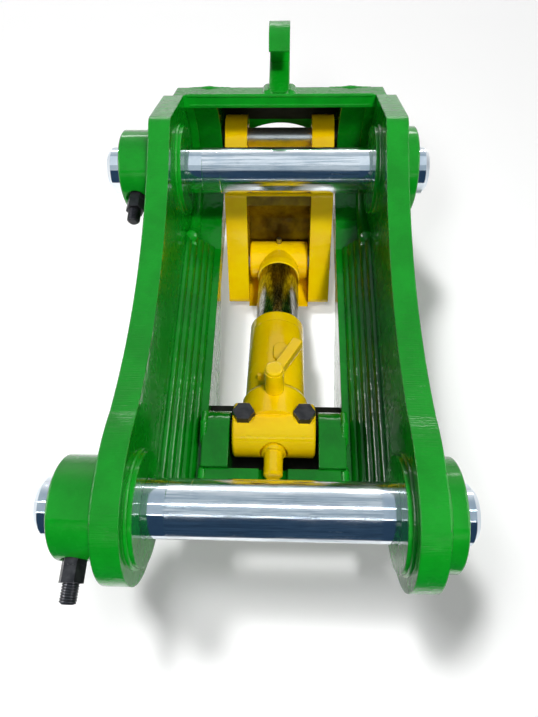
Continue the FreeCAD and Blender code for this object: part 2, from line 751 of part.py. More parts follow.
def make_frame():
    for name, side in SIDES:
        make_ear(name, side)
        make_hook_plate(name, side)
        make_lug(name, side)
        make_seam_weld(name, side)
        make_rear_weld(name, side)
    make_cover()
    make_tie_plate()
    make_lifting_hook()
    make_front_cross_plate()
    make_pin_hardware("dipper", DIPPER)
    make_pin_hardware("link", LINK)
    keepers = [make_keeper(at) for at in (DIPPER, LINK)]
    for index, label in enumerate(("retention_bolts", "retention_nuts", "lock_nuts")):
        group(label, [keeper[index] for keeper in keepers])


# Jaw pivot

def make_jaw_pivot():
    pin = "jaw_pin_dia / 2"
    node(shaft("jaw_pivot_pin", "-jaw_pin_half", "jaw_pin_half", pin, "2", JAW))
    clips, washers = [], []
    for name, side in SIDES:
        clips.append(ring("pivot_clip_" + name, side, HOOK_OUTSIDE,
                          HOOK_OUTSIDE + " + clip_thick", pin, pin + " + clip_wall", JAW))
        washers.append(ring("washer_" + name, side, CHEEK_OUTSIDE + " + washer_gap",
                            "hook_inside", pin + " + run_fit", "washer_round", JAW))
    group("pivot_pin_circlips", clips)
    group("jaw_thrust_washers", washers)


# Jaw

def jaw_lip():
    """The lower lip behind the rear throat, from the throat down to the sole."""
    throat_low = "jaw_hook_z - " + THROAT
    sole = "hook_z - %s - hook_lip" % THROAT
    return [
        ("(eye_y + jaw_hook_back) + jaw_toe - 5", throat_low),
        ("(eye_y + jaw_hook_back) + jaw_toe", throat_low + " - 6"),
        ("(eye_y + jaw_hook_back) + jaw_toe", sole + " + 8"),
        ("(eye_y + jaw_hook_back) + jaw_toe - 8", sole),
    ]


def make_cheek(name, side):
    throat_high = "jaw_hook_z + " + THROAT
    throat_low = "jaw_hook_z - " + THROAT
    sole = "hook_z - %s - hook_lip" % THROAT
    crown = on_circle(JAW, "jaw_head", "118")
    nape = on_circle(JAW, "jaw_head", "-22")
    corners = [
        ("(eye_y + knee_back)", "knee_z"),
        crown,
        nape + ("jaw_head", -1),
        ("(eye_y + jaw_hook_back) + 34", throat_high),
        ("(eye_y + jaw_hook_back)", throat_high),
        ("(eye_y + jaw_hook_back)", throat_low, THROAT, 1),
    ] + jaw_lip() + [
        ("(eye_y - sole_reach)", sole),
        ("(eye_y - chin_reach)", "(eye_z - chin_drop)"),
    ]
    cheek = plate("jaw_cheek_" + name, side, "cheek_inside", "cheek_thick", corners)
    bore(cheek, "YZ_Plane", "jaw_y", "jaw_z", "jaw_bush")
    bore(cheek, "YZ_Plane", "eye_y", "eye_z", "rod_pin_dia / 2 + seat_fit")
    dress(cheek, "Fillet", "jaw_corner",
          at_corners([("(eye_y - sole_reach)", sole), ("(eye_y - chin_reach)", "(eye_z - chin_drop)"), ("(eye_y + knee_back)", "knee_z")]))
    node(cheek)


def make_web():
    """The block between the cheeks, hollowed for the rod eye and open at the pivot."""
    throat_high = "jaw_hook_z + " + THROAT
    throat_low = "jaw_hook_z - " + THROAT
    sole = "hook_z - %s - hook_lip" % THROAT
    crown = on_circle(JAW, "jaw_head", "118")
    knee_to_crown = "((%s) - knee_z) / ((%s) - (eye_y + knee_back))" % (crown[1], crown[0])
    top_z = "knee_z + (web_top_y - (eye_y + knee_back)) * " + knee_to_crown
    chin_to_knee = "((eye_y + knee_back) - (eye_y - chin_reach)) / (knee_z - (eye_z - chin_drop))"
    wall_y = "eye_y + eye_round + eye_play + 1.2"
    corners = [
        ("(eye_y + knee_back)", "knee_z"),
        ("web_top_y", top_z),
        ("jaw_y + 8", "jaw_z - 38"),
        ("(eye_y + jaw_hook_back) + 34", throat_high),
        ("(eye_y + jaw_hook_back)", throat_high),
        ("(eye_y + jaw_hook_back)", throat_low, THROAT, 1),
    ] + jaw_lip() + [
        ("(eye_y - sole_reach)", sole),
        ("(eye_y - chin_reach) - 5", "(eye_z - chin_drop)"),
        ("(eye_y - chin_reach) + 12", "(eye_z - chin_drop) - 6"),
        ("eye_y - 18", "eye_z - eye_round - eye_play - 2"),
        ("eye_y + 14", "eye_z - eye_round - eye_play - 2"),
        (wall_y, "eye_z - 6"),
        (wall_y, "eye_z + 8"),
        ("eye_y + 38", "eye_z + 33"),
        ("(eye_y + knee_back) + 12", "knee_z - 26"),
        ("(eye_y + knee_back) - web_drop * " + chin_to_knee, "knee_z - web_drop"),
    ]
    web = middle_plate("jaw_web", "cheek_inside", corners)
    node(web)


def make_jaw():
    for name, side in SIDES:
        make_cheek(name, side)
    make_web()
    bushes = [ring("jaw_bush_" + name, side, "cheek_inside", CHEEK_OUTSIDE,
                   "jaw_pin_dia / 2 + run_fit", "jaw_bush", JAW) for name, side in SIDES]
    group("jaw_bushes", bushes)
    pin = "rod_pin_dia / 2"
    half = CHEEK_OUTSIDE + " + clip_thick + 0.5"
    node(shaft("rod_pin", "-(%s)" % half, half, pin, "0.8", EYE))
    clips = [ring("rod_clip_" + name, side, CHEEK_OUTSIDE, CHEEK_OUTSIDE + " + clip_thick * 0.6",
                  pin, pin + " + clip_wall", EYE) for name, side in SIDES]
    group("rod_pin_circlips", clips)


# Cylinder, in a frame at the trunnion whose Y runs along the barrel

def along_barrel(label):
    return new_body(label, TRUNNION_AT, CYLINDER_SLOPE)


def make_base_block():
    block = along_barrel("cylinder_base")
    revolve(block, "H_Axis", [
        ("-block_half", "0"), ("-block_half", "block_round - 1.5"),
        ("-block_half + 1.5", "block_round"), ("block_half - 1.5", "block_round"),
        ("block_half", "block_round - 1.5"), ("block_half", "0")])
    revolve(block, "V_Axis", [
        ("0", "0"), (COLLAR, "0"), (COLLAR, "collar_end"),
        (BARREL + " + seat_fit", "collar_end + collar_bevel"), ("0", "collar_end + collar_bevel")])
    socket = new_sketch(block, "XZ_Plane", "-collar_end - collar_bevel")
    draw_circle(socket, "0", "0", BARREL)
    cut_deep(block, socket, "collar_end + collar_bevel - barrel_from", True)
    bore(block, "YZ_Plane", "0", "0", TRUNNION_PIN)
    seat = new_sketch(block, "XZ_Plane", "adapter_seat")
    draw_circle(seat, "0", "0", "adapter_flange / 2 + 1.5")
    cut_deep(block, seat, "12", True)
    thread = new_sketch(block, "XZ_Plane", "adapter_seat")
    draw_circle(thread, "0", "0", "adapter_thread / 2")
    cut_deep(block, thread, "adapter_seat - 11")
    for side in (LEFT, RIGHT):
        face = new_sketch(block, "XY_Plane", "bolt_seat")
        draw_circle(face, times(side, "bolt_at"), "0", "bolt_flats * 0.6")
        cut_deep(block, face, "12", True)
        hole = new_sketch(block, "XY_Plane", "bolt_seat")
        draw_circle(hole, times(side, "bolt_at"), "0", "bolt_dia / 2")
        cut_deep(block, hole, "bolt_seat + bolt_depth")
    node(block)


def make_trunnion():
    pin = new_body("trunnion_pin", TRUNNION_AT, CYLINDER_SLOPE)
    end = "hook_inside - 0.5"
    revolve(pin, "H_Axis", [
        ("-(%s)" % end, "0"), ("-(%s)" % end, TRUNNION_PIN), (end, TRUNNION_PIN), (end, "0")])
    for side in (LEFT, RIGHT):
        bore(pin, "XY_Plane", times(side, "bolt_at"), "0", "bolt_dia / 2")
    node(pin)
    bushes = [ring("bush_" + name, side, "lug_inside", "hook_inside",
                   TRUNNION_PIN + " + run_fit", "trunnion_bush", TRUNNION)
              for name, side in SIDES]
    group("trunnion_bushes", bushes)
    bolts = []
    for name, side in SIDES:
        bolt = along_barrel("trunnion_bolt_" + name)
        shank = new_sketch(bolt, "XY_Plane", "-bolt_depth")
        draw_circle(shank, times(side, "bolt_at"), "0", "bolt_dia / 2")
        pad(bolt, shank, "bolt_seat + bolt_depth")
        head = new_sketch(bolt, "XY_Plane", "bolt_seat")
        hexagon(head, "bolt_flats", times(side, "bolt_at"))
        fuse_into(bolt, head, "bolt_head")
        bolts.append(bolt)
    group("trunnion_bolts", bolts)


def make_barrel():
    barrel = along_barrel("cylinder_barrel")
    bore_round, outer = "barrel_bore / 2", BARREL
    revolve(barrel, "V_Axis", [
        (bore_round, "barrel_from"), (outer, "barrel_from"), (outer, "barrel_to"),
        (bore_round, "barrel_to")])
    node(barrel)
    pad_body = along_barrel("port_pad")
    half = "pad_width / 2"
    left, right = "pad_right - " + half, "pad_right + " + half
    low, high = "pad_from + " + half, "pad_from + pad_length - " + half
    sketch = new_sketch(pad_body, "XY_Plane", BARREL + " - 8")
    draw(sketch, [(right, high), (left, high, half, 1), (left, low), (right, low, half, 1)])
    pad(pad_body, sketch, "8 + pad_rise")
    saddle = new_sketch(pad_body, "XZ_Plane")
    draw_circle(saddle, "0", "0", outer)
    cut_through(pad_body, saddle)
    dress(pad_body, "Fillet", "1.2", lambda edge: edge.BoundBox.ZLength < 0.001
          and edge.BoundBox.ZMin > number(BARREL + " + pad_rise - 0.01"))
    node(pad_body)


def make_gland():
    rod_hole = ROD + " + rod_fit"
    plug = "barrel_bore / 2 - seat_fit"
    start = "barrel_to - gland_plug"
    end = "barrel_to + gland_nose"
    seal_from = "barrel_to + 1.5"
    gland = along_barrel("cylinder_gland")
    revolve(gland, "V_Axis", [
        (rod_hole, start), (plug, start), (plug, "barrel_to"), (BARREL, "barrel_to"),
        (BARREL, end + " - gland_break"), (BARREL + " - gland_break", end),
        (rod_hole + " + wiper_wall", end), (rod_hole + " + wiper_wall", end + " - wiper_depth"),
        (rod_hole, end + " - wiper_depth"), (rod_hole, seal_from + " + seal_width"),
        (rod_hole + " + seal_wall", seal_from + " + seal_width"),
        (rod_hole + " + seal_wall", seal_from), (rod_hole, seal_from)])
    node(gland)
    wiper = along_barrel("rod_wiper")
    revolve(wiper, "V_Axis", [
        (rod_hole, end + " - wiper_depth"), (rod_hole + " + wiper_wall", end + " - wiper_depth"),
        (rod_hole + " + wiper_wall", end), (rod_hole, end + " + 1.5")])
    node(wiper)
    seal = along_barrel("rod_seal")
    revolve(seal, "V_Axis", [
        (rod_hole, seal_from), (rod_hole + " + seal_wall", seal_from),
        (rod_hole + " + seal_wall", seal_from + " + seal_width"),
        (rod_hole, seal_from + " + seal_width")])
    node(seal)


def make_elbow():
    stem = "elbow_stem / 2"
    elbow = along_barrel("hose_elbow")
    foot = new_sketch(elbow, "XY_Plane", COLLAR + " - 6")
    draw_circle(foot, "0", "elbow_at", stem)
    pad(elbow, foot, ELBOW_TOP + " - %s + 6" % COLLAR)
    across = "elbow_bar / 2"
    arm = new_sketch(elbow, "XY_Plane", ELBOW_TOP + " - elbow_bar - 1")
    corners = []
    for reach, shift in (("0", "-" + across), ("elbow_arm", "-" + across),
                         ("elbow_arm", across), ("0", across)):
        corners.append((
            "%s * sin(elbow_turn) + (%s) * cos(elbow_turn)" % (reach, shift),
            "elbow_at + %s * cos(elbow_turn) - (%s) * sin(elbow_turn)" % (reach, shift)))
    draw(arm, corners)
    fuse_into(elbow, arm, "elbow_bar")
    saddle = new_sketch(elbow, "XZ_Plane")
    draw_circle(saddle, "0", "0", COLLAR)
    cut_through(elbow, saddle)
    node(elbow)
    cap = new_body("elbow_cap_screw", TRUNNION_AT, CYLINDER_SLOPE)
    sketch = new_sketch(cap, "XY_Plane", ELBOW_TOP)
    draw_circle(sketch, "0", "elbow_at", stem + " - 0.6")
    pad(cap, sketch, "elbow_cap")
    dress(cap, "Fillet", "1.8",
          lambda edge: edge.BoundBox.ZLength < 0.001
          and edge.BoundBox.ZMin > number(ELBOW_TOP + " + 1"))
    node(cap)


def make_bleed_screw():
    screw = along_barrel("bleed_screw")
    sketch = new_sketch(screw, "XY_Plane", BARREL + " + bleed_rise - 12")
    draw_circle(sketch, "-bleed_left", "bleed_at", "bleed_dia / 2")
    pad(screw, sketch, "12")
    saddle = new_sketch(screw, "XZ_Plane")
    draw_circle(saddle, "0", "0", BARREL)
    cut_through(screw, saddle)
    node(screw)


def make_adapter():
    adapter = along_barrel("hose_adapter")
    thread, rim, tube = "adapter_thread / 2", "adapter_flange / 2", "adapter_dia / 2"
    revolve(adapter, "V_Axis", [
        ("0", "-adapter_seat + 9"), (thread, "-adapter_seat + 9"), (thread, "-adapter_seat"),
        (rim, "-adapter_seat"), (rim, "-adapter_seat - adapter_rim"),
        (tube, "-adapter_seat - adapter_rim"), (tube, "-adapter_reach + 2.5"),
        (tube + " - 2.5", "-adapter_reach"), ("0", "-adapter_reach")])
    node(adapter)


def make_cylinder():
    make_base_block()
    make_trunnion()
    make_barrel()
    make_gland()
    make_elbow()
    make_bleed_screw()
    make_adapter()


# Piston rod, in a frame at the rod pin whose Y runs along the barrel

def along_rod(label):
    return new_body(label, EYE_AT, CYLINDER_SLOPE)


NUT_END = "barrel_from + piston_rest - " + CYLINDER_LENGTH
PISTON_FROM = NUT_END + " + piston_nut"
PISTON_TO = PISTON_FROM + " + piston_width"


def make_rod():
    spigot = "spigot_dia / 2"
    rod = along_rod("piston_rod")
    revolve(rod, "V_Axis", [
        ("0", NUT_END), (spigot, NUT_END), (spigot, PISTON_TO), (ROD, PISTON_TO),
        (ROD, "-eye_neck"), ("0", "-eye_neck")])
    node(rod)

    piston = along_rod("piston")
    land = "barrel_bore / 2 - rod_fit"
    seal_from = "(%s + (piston_width - seal_width) / 2)" % PISTON_FROM
    seal_to = "(%s + (piston_width + seal_width) / 2)" % PISTON_FROM
    revolve(piston, "V_Axis", [
        (spigot, PISTON_FROM), (land, PISTON_FROM), (land, seal_from),
        (land + " - seal_wall", seal_from), (land + " - seal_wall", seal_to), (land, seal_to),
        (land, PISTON_TO), (spigot, PISTON_TO)])
    node(piston)
    seal = along_rod("piston_seal")
    revolve(seal, "V_Axis", [
        (land + " - seal_wall", seal_from), (land, seal_from), (land, seal_to),
        (land + " - seal_wall", seal_to)])
    node(seal)
    nut = along_rod("piston_nut")
    sketch = new_sketch(nut, "XZ_Plane", "-(%s)" % PISTON_FROM)
    hexagon(sketch, "piston_nut_flats")
    draw_circle(sketch, "0", "0", spigot)
    pad(nut, sketch, "piston_nut")
    node(nut)


def make_rod_eye():
    eye = along_rod("rod_eye")
    revolve(eye, "H_Axis", [
        ("-eye_half", "0"), ("-eye_half", "eye_round - 1.5"),
        ("-eye_half + 1.5", "eye_round"), ("eye_half - 1.5", "eye_round"),
        ("eye_half", "eye_round - 1.5"), ("eye_half", "0")])
    neck = ROD + " + eye_neck_wall"
    revolve(eye, "V_Axis", [
        ("0", "-eye_neck"), (neck + " - 1.2", "-eye_neck"), (neck, "-eye_neck + 1.2"),
        (neck, "-eye_neck + 9"), ("eye_round - 2", "-4"), ("0", "-4")])
    bore(eye, "YZ_Plane", "0", "0", "eye_bush")
    node(eye)
    bush = along_rod("rod_eye_bush")
    inner = "rod_pin_dia / 2 + eye_play"
    revolve(bush, "H_Axis", [
        ("-eye_half", inner), ("-eye_half", "eye_bush"), ("eye_half", "eye_bush"),
        ("eye_half", inner)])
    node(bush)
    nipple = along_rod("grease_nipple")
    sketch = new_sketch(nipple, "XY_Plane", "eye_round - 0.5")
    draw_circle(sketch, "0", "4", "nipple_dia / 2")
    pad(nipple, sketch, "nipple_high")
    saddle = new_sketch(nipple, "YZ_Plane")
    draw_circle(saddle, "0", "0", "eye_round")
    cut_through(nipple, saddle)
    node(nipple)


# Assembly and export

def check():
    """Stops if an object failed or a node is not a sound solid."""
    for thing in doc.Objects:
        if "Invalid" in thing.State or "Error" in thing.State:
            raise SystemExit("failed: %s %s" % (thing.Label, thing.State))
    for thing in nodes:
        if thing.Shape.isNull() or not thing.Shape.isValid() or not thing.Shape.Solids:
            raise SystemExit("unsound: " + thing.Label)


def main():
    make_frame()
    make_jaw_pivot()
    make_jaw()
    make_cylinder()
    make_rod()
    make_rod_eye()
    doc.recompute()
    check()
    os.makedirs("parts", exist_ok=True)
    for thing in nodes:
        thing.Shape.exportStep("parts/%s.step" % thing.Label)
        print("%-22s %2d solids %12.1f mm3" % (
            thing.Label, len(thing.Shape.Solids), thing.Shape.Volume))


main()
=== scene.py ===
"""The looks of an excavator quick coupler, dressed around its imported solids."""

import json
import math
import random

import bmesh
import bpy
from mathutils import Matrix, Vector

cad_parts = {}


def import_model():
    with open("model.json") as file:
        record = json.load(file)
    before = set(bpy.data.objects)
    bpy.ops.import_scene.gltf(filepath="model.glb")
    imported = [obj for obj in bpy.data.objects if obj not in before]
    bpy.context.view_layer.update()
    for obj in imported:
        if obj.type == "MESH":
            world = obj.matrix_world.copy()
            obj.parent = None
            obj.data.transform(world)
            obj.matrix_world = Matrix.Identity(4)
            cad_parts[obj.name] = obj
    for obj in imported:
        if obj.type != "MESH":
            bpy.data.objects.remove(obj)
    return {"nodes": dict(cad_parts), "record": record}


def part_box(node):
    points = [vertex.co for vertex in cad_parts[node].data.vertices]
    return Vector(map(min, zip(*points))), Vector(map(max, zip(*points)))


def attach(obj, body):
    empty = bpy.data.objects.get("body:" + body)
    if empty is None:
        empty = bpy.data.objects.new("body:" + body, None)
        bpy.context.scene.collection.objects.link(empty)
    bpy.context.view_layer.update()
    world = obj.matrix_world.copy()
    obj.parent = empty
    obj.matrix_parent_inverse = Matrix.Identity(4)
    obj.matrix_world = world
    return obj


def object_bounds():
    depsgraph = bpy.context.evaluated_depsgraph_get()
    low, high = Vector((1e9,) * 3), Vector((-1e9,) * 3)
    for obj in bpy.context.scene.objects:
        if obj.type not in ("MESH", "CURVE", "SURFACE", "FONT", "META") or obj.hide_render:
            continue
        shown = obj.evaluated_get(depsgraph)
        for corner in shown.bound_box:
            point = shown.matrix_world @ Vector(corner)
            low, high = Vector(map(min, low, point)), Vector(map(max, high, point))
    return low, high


MM = 0.001

# The photograph's camera, worked out from the two machine pins
CAMERA_AT = Vector((10.6, -75.4, 413.0)) * MM
CAMERA_PITCH = math.radians(63.87)
CAMERA_YAW = math.radians(-4.23)
CAMERA_ROLL = math.radians(-3.14)
FOCAL_PIXELS = 539
PHOTO_HEIGHT = 717
SENSOR = 36.0

# Colours, linear. Each finish is mixed from a colour and its shade.
GREEN = (0.003, 0.33, 0.012, 1)
GREEN_SHADE = (0.002, 0.26, 0.008, 1)
# Painted shade: a darker copy of the green for the parts deep inside the frame
SHADED_INNER_GREEN = (0.002, 0.24, 0.008, 1)
INNER_SHADE = (0.001, 0.17, 0.005, 1)
# Painted shade: a much darker green for the tie plate and the welds round the bosses
DARK_SHADE_GREEN = (0.012, 0.12, 0.010, 1)
YELLOW = (1.0, 0.68, 0.0, 1)
YELLOW_SHADE = (0.95, 0.58, 0.0, 1)
PRIMER = (0.05, 0.045, 0.035, 1)
# Painted shade: the dark brown laid on what faces the front in the jaw's pocket
FRONT_SHADE = (0.06, 0.032, 0.003, 1)
# Painted shade: the near black laid on what faces down under the rear cover
UNDERSIDE_SHADE = (0.010, 0.012, 0.004, 1)
ZINC = (0.86, 0.90, 0.94, 1)
ZINC_SHADE = (0.60, 0.68, 0.76, 1)
SCUFFED = (0.97, 0.98, 1.0, 1)
RUBBED = (0.50, 0.57, 0.63, 1)
# Painted light: a lighter copy of the plain steel for the jaw's pivot pin
PAINTED_LIGHT_STEEL = (0.86, 0.86, 0.82, 1)
PAINTED_LIGHT_STEEL_SHADE = (0.66, 0.67, 0.64, 1)
BARE_STEEL = (0.42, 0.42, 0.43, 1)
BARE_SHADE = (0.34, 0.34, 0.35, 1)
THREAD = (0.11, 0.11, 0.12, 1)
THREAD_SHADE = (0.03, 0.03, 0.035, 1)
GREASE = (0.05, 0.045, 0.035, 1)
GREASE_SHADE = (0.02, 0.018, 0.012, 1)
# Painted reflection: the dark streaks in the chrome's colour
CHROME_PAINTED_DARK = (0.16, 0.15, 0.12, 1)
CHROME = (0.55, 0.54, 0.50, 1)
BRASS = (0.70, 0.48, 0.19, 1)
BRASS_SHADE = (0.55, 0.36, 0.14, 1)
BLACK_OXIDE = (0.022, 0.022, 0.026, 1)
OXIDE_SHADE = (0.05, 0.05, 0.055, 1)
WORN_OXIDE = (0.22, 0.22, 0.23, 1)
RUBBER = (0.02, 0.02, 0.02, 1)
RUBBER_SHADE = (0.035, 0.035, 0.035, 1)
WHITE = (1, 1, 1, 1)
CEILING = (0.44, 0.52, 0.58, 1)
CARD = (0.025, 0.055, 0.10, 1)
FLOOR_BOUNCE = (0.50, 0.50, 0.50, 1)
FLOOR_SEEN = (0.80, 0.80, 0.80, 1)

# The room's light on the object from the sides and from above, and the floor's own glow
ROOM_SIDES = 0.42
ROOM_ABOVE = 0.05
FLOOR_GLOW = 0.28
# How steeply a ray points up where that light falls off, and where the walls turn into the ceiling
FALL_OFF = (0.05, 0.55)
WALL_TOP = (0.35, 0.75)

# What the lamps face: the middle of the object, and of the floor under it
MIDDLE = (0.0, 0.20, 0.0)
FLOOR_MIDDLE = (0.0, 0.20, -0.17)
# The lamps on the object and those for the shadow on the floor: place and size in metres, and power
OBJECT_LAMPS = [("key", (0.52, -0.16, 2.0), 0.36, 33.0), ("front", (0.25, -1.50, 1.25), 0.40, 11.0)]
FLOOR_LAMPS = [("near_shadow", (-0.086, 0.039, 0.472), 0.12, 1.9),
               ("far_shadow", (-1.10, 1.15, 4.0), 0.6, 138.0)]
# The lamps seen only in gloss, those for the paint and those for the pins: place in metres, width,
# length and power
PAINT_GLOSS = [("left", (-1.5, 0.15, 1.1), 0.28, 1.6, 27.0), ("right", (1.5, 0.15, 1.1), 0.28, 1.6, 16.0),
               ("front", (0.0, -1.6, 1.3), 0.22, 1.6, 25.0), ("rear", (0.0, 2.4, 0.85), 0.25, 1.8, 9.0)]
PIN_GLOSS = [("pin_rear", (0.0, 2.4, 0.85), 0.025, 2.4, 24.0),
             ("pin_far", (0.0, 0.5, 2.0), 1.8, 2.4, 4.6),
             ("pin_over", (0.0, 0.13, 2.1), 0.012, 2.4, 7.0),
             ("pin_front", (0.0, -1.3, 1.8), 0.012, 2.4, 3.0)]

# Where the machine's eyes scuff a pin, along X, and how far left of its middle lines are turned in it
SCUFFED_FROM = -76 * MM
SCUFFED_TO = 80 * MM
TURNED_LINES = (58 * MM, 76 * MM)

# A weld bead: its sides, a ripple's length and steps, how high a ripple stands and how far its sides
# trail its middle, and how far the bead strays and swells. The heights are shares of its radius.
BEAD_SIDES = 14
RIPPLE = 2.4 * MM
RIPPLE_STEPS = 5
RIPPLE_HEIGHT = 0.09
RIPPLE_LAG = 0.45
BEAD_STRAY = 0.10
BEAD_SWELL = 0.05

# The fillet welds on the ears: the piece that one goes round, its ear, the ear's face (-1 for the
# left one) and the bead's radius
RING_STEPS = 72
RING_BEADS = [
    ("dipper_boss_left", "ear_plate_left", -1, 5.0 * MM),
    ("link_boss_left", "ear_plate_left", -1, 5.0 * MM),
    ("dipper_ring_right", "ear_plate_right", 1, 4.5 * MM),
    ("link_ring_right", "ear_plate_right", 1, 4.5 * MM),
    ("dipper_collar_left", "ear_plate_left", 1, 2.0 * MM),
    ("link_collar_left", "ear_plate_left", 1, 2.0 * MM),
    ("dipper_collar_right", "ear_plate_right", -1, 2.0 * MM),
    ("link_collar_right", "ear_plate_right", -1, 2.0 * MM),
]
# The beads round under the link pin: their distance from its axis and their radius, and where they
# start and how far they go in degrees
GAP_BEADS = [(67 * MM, 6.2 * MM), (76 * MM, 5.6 * MM)]
GAP_START = -136
GAP_SWEEP = 98
GAP_STEPS = 40
# The beads along the cover's front edge: name, corners in millimetres, radius, the way they face and
# the seed of their draws
COVER_EDGES = [
    ("weld_cover_front", [(-97, 405.8, 38.3), (97, 405.8, 38.3)], 1.9 * MM, (0, -0.3, 1), 41),
    ("weld_cover_low", [(-95, 402.0, 30.2), (95, 402.0, 30.2)], 1.4 * MM, (0, -1, 0), 42),
]
COVER_RIPPLE = 5 * MM
# The beads that lie on both sides, given for the right: as above, with the ripple before the seed
COVER_BEADS = [
    ("weld_hook", [(12, 405.0, 37.6), (12, 432, 25.6)], 5.4 * MM, (1, 0, 1), RIPPLE, 43),
    ("weld_cover_rear", [(100, 432, 24.4), (84, 432, 25.0), (75, 432, 26.3), (66, 432, 25.0),
                         (48, 432, 24.4)], 2.8 * MM, (0, 0, 1), 6 * MM, 46),
]
TRUNNION_BEADS = [
    ("weld_cross", [(63, 17, -56), (63, 46, -56)], 3.4 * MM, (-1, 0, 1), RIPPLE, 51),
    ("weld_cross_rear", [(63, 47, -57), (63, 47, -94)], 3.4 * MM, (-1, 1, 0), RIPPLE, 54),
    ("weld_lug", [(63, 68, -92), (63, 66.5, -66), (63, 70, -53), (63, 84, -46.5), (63, 98, -53)],
     3.2 * MM, (-1, -0.4, 0.6), RIPPLE, 57),
]

# The dark plate of painted shade under the trunnion, its lowest and highest corners
SHADE_PLATE_LOW = Vector((-64.0, 44.0, -97.0)) * MM
SHADE_PLATE_HIGH = Vector((64.0, 118.0, -91.0)) * MM

# A bolt's thread: its turns, the steps of a turn, how far the middle of its ridge is from the axis,
# the ridge's radius and sides, and where it starts behind the bolt's end
THREAD_TURNS = 7
THREAD_STEPS = 22
THREAD_MIDDLE = 5.45 * MM
RIDGE = 0.8 * MM
RIDGE_SIDES = 6
THREAD_START = 1.2 * MM
# The bolt inside its thread: distances behind its end, and radii
CORE_SIDES = 24
CORE_TIP = (0.1 * MM, 4.2 * MM)
CORE_CHAMFER = (1.3 * MM, 5.4 * MM)

# Half the floor's side, and its distance under the soles
FLOOR_REACH = 6.0
FLOOR_DROP = 0.2 * MM
# The dark card in front: its height over the soles, half its width, where it lies along Y, and the Y
# and Z of its top
CARD_LIFT = 0.5 * MM
CARD_HALF = 2.0
CARD_NEAR = -0.20
CARD_FAR = -1.3
CARD_TOP = (-1.15, 1.5)

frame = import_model()
cad_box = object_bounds()


# Node helpers

def feed(tree, socket, value):
    """Gives a socket a plain value, or links another socket to it."""
    if isinstance(value, bpy.types.NodeSocket):
        tree.links.new(value, socket)
    else:
        socket.default_value = value


def put(tree, kind, inputs=None, **settings):
    """A new shader node with its settings and its inputs."""
    node = tree.nodes.new("ShaderNode" + kind)
    for name, value in settings.items():
        setattr(node, name, value)
    for name, value in (inputs or {}).items():
        feed(tree, node.inputs[name], value)
    return node


def material_tree(name):
    """A material and its empty node tree."""
    material = bpy.data.materials.new(name)
    material.use_nodes = True
    tree = material.node_tree
    tree.nodes.clear()
    return material, tree


def blank(name):
    """A material with an untouched principled shader."""
    material = bpy.data.materials.new(name)
    material.use_nodes = True
    tree = material.node_tree
    return material, tree, tree.nodes["Principled BSDF"]


def places(tree, stretch=None):
    """Places in the frame, in metres, stretched along each axis if asked."""
    spots = put(tree, "TexCoord").outputs["Object"]
    if stretch is None:
        return spots
    return put(tree, "Mapping", {"Vector": spots, "Scale": stretch}).outputs[0]


def noise(tree, spots, scale, detail=3.0, rough=0.5):
    """Cloudy noise with that many waves per metre."""
    inputs = {"Vector": spots, "Scale": scale, "Detail": detail, "Roughness": rough}
    return put(tree, "TexNoise", inputs).outputs[0]


def spread(tree, value, low, high, to_low=0.0, to_high=1.0):
    """Maps low...high to to_low...to_high, held at the ends."""
    inputs = {"Value": value, "From Min": low, "From Max": high, "To Min": to_low, "To Max": to_high}
    return put(tree, "MapRange", inputs).outputs[0]


def blend_colours(tree, share, first, second):
    """The first colour where the share is 0 and the second where it is 1."""
    node = put(tree, "Mix", data_type="RGBA")
    feed(tree, node.inputs[0], share)
    feed(tree, node.inputs[6], first)
    feed(tree, node.inputs[7], second)
    return node.outputs[2]


def calculate(tree, operation, first, second=0.0):
    """The result of one operation on two values."""
    node = put(tree, "Math", operation=operation)
    feed(tree, node.inputs[0], first)
    feed(tree, node.inputs[1], second)
    return node.outputs[0]


def times(tree, first, second):
    """The product of two values."""
    return calculate(tree, "MULTIPLY", first, second)


def plus(tree, first, second):
    """The sum of two values."""
    return calculate(tree, "ADD", first, second)


def unsigned(tree, value):
    """A value without its sign."""
    return calculate(tree, "ABSOLUTE", value)


def part_of(tree, vector, axis):
    """One part of a vector: 0 for X, 1 for Y and 2 for Z."""
    return put(tree, "SeparateXYZ", {"Vector": vector}).outputs[axis]


def facing(tree, axis):
    """How far the surface faces along an axis."""
    return part_of(tree, put(tree, "NewGeometry").outputs["Normal"], axis)


def raised(tree, height, distance, strength=1.0, normal=None):
    """The normal over a pattern of heights, where 1 stands that many metres out."""
    inputs = {"Height": height, "Distance": distance, "Strength": strength}
    if normal is not None:
        inputs["Normal"] = normal
    return put(tree, "Bump", inputs).outputs[0]


def soft_edges(tree, radius):
    """The normal over rounded edges, and a mask that is 1 on them."""
    rounded = put(tree, "Bevel", {"Radius": radius}, samples=6).outputs[0]
    plain = put(tree, "NewGeometry").outputs["Normal"]
    turn = put(tree, "VectorMath", operation="DOT_PRODUCT")
    tree.links.new(rounded, turn.inputs[0])
    tree.links.new(plain, turn.inputs[1])
    return rounded, spread(tree, turn.outputs["Value"], 0.995, 0.90)


# Materials

